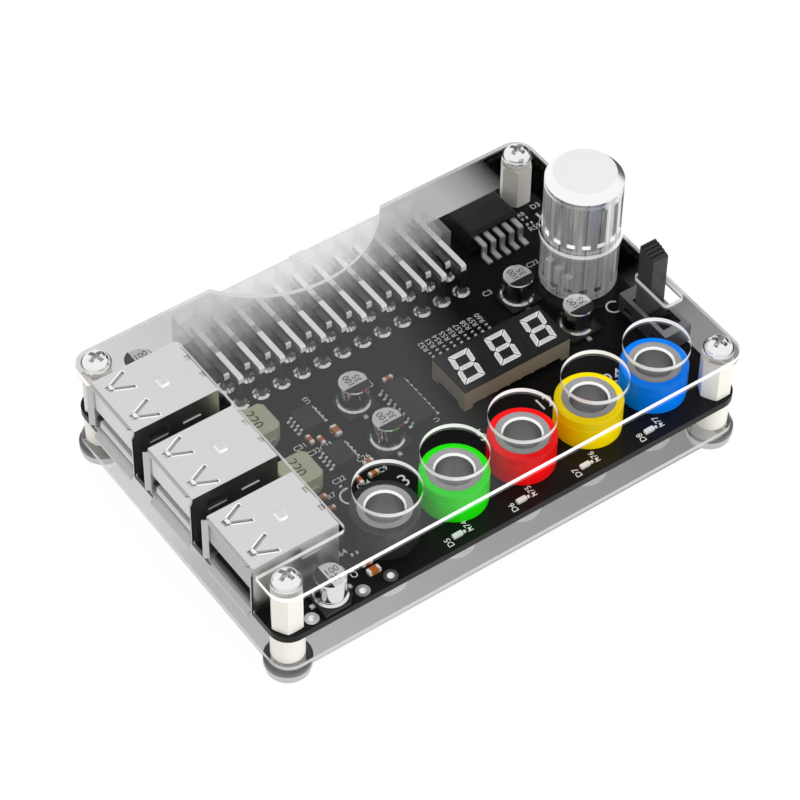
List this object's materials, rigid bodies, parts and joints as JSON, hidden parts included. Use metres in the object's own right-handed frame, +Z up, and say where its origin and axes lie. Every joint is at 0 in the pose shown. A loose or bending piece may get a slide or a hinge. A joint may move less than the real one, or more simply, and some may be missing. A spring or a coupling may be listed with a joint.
{
  "type": "power distribution board",
  "caption": "Benchtop power breakout board between clear plates, with a pin header, rectangular ports, coloured round sockets, a number display, a rotary knob and a slide switch.",
  "frame": {"origin": "centre of the rectangle of the four feet, on the plane that they stand on", "axes": "+X along the row of round sockets, +Y from those sockets to the pin header, +Z up out of the board"},
  "size_m": [0.0974, 0.0648, 0.0348],
  "materials": {
    "acrylic": "clear polished sheet",
    "board": "black solder mask",
    "ivory": "moulded nylon",
    "rubber_foot": "smoky moulded foot",
    "steel": "bright nickel plate",
    "tin": "tinned",
    "milky": "translucent natural",
    "white_plastic": "moulded",
    "black_plastic": "moulded",
    "red_plastic": "moulded",
    "green_plastic": "moulded",
    "yellow_plastic": "moulded",
    "blue_plastic": "moulded",
    "gold": "plated",
    "display_case": "moulded",
    "display_face": "printed",
    "segment": "diffuser",
    "turned_aluminium": "polished",
    "ferrite": "moulded",
    "ceramic_brown": "fired"
  },
  "bodies": {
    "board": {"bottom_plate": "acrylic", "capacitor_bases": "black_plastic", "capacitor_can_1": "turned_aluminium", "capacitor_can_2": "turned_aluminium", "capacitor_can_3": "turned_aluminium", "capacitor_can_4": "turned_aluminium", "capacitor_can_5": "turned_aluminium", "capacitor_can_6": "turned_aluminium", "capacitor_leads": "tin", "chip_leads": "tin", "chips": "black_plastic", "circuit_board": "board", "display_face": "display_face", "display_housing": "display_case", "display_pins": "tin", "display_segments": "segment", "eyelets": "tin", "feet": "rubber_foot", "header_housing": "milky", "header_pins_lower": "steel", "header_pins_upper": "steel", "header_solder": "tin", "hex_standoffs": "ivory", "indicator_lamps": "white_plastic", "inductor_1": "ferrite", "inductor_2": "ferrite", "inductor_terminals": "tin", "lower_spacers": "ivory", "port_contacts": "gold", "port_insulator_1": "black_plastic", "port_insulator_2": "white_plastic", "port_insulator_3": "white_plastic", "port_shell_1": "steel", "port_shell_2": "steel", "port_shell_3": "steel", "potentiometer_body": "black_plastic", "potentiometer_cover": "steel", "potentiometer_lugs": "tin", "regulator_body": "black_plastic", "regulator_leads": "tin", "small_capacitors": "ceramic_brown", "small_resistors": "black_plastic", "socket_insert_black": "steel", "socket_insert_blue": "steel", "socket_insert_green": "steel", "socket_insert_red": "steel", "socket_insert_yellow": "steel", "socket_sleeve_black": "black_plastic", "socket_sleeve_blue": "blue_plastic", "socket_sleeve_green": "green_plastic", "socket_sleeve_red": "red_plastic", "socket_sleeve_yellow": "yellow_plastic", "switch_base": "black_plastic", "switch_frame": "steel", "switch_terminals": "tin", "top_plate": "acrylic", "top_screws": "steel"},
    "knob": {"knob": "turned_aluminium", "potentiometer_shaft": "steel"},
    "lever": {"switch_lever": "black_plastic"}
  },
  "joints": [
    {"name": "knob_turn", "type": "hinge", "parent": "board", "child": "knob", "pos_m": [0.04242, 0.00782, 0.02065], "axis": [0, 0, 1], "range_deg": [-150, 150]},
    {"name": "lever_slide", "type": "slide", "parent": "board", "child": "lever", "axis": [0, 1, 0], "range_m": [-0.004, 0]}
  ]
}
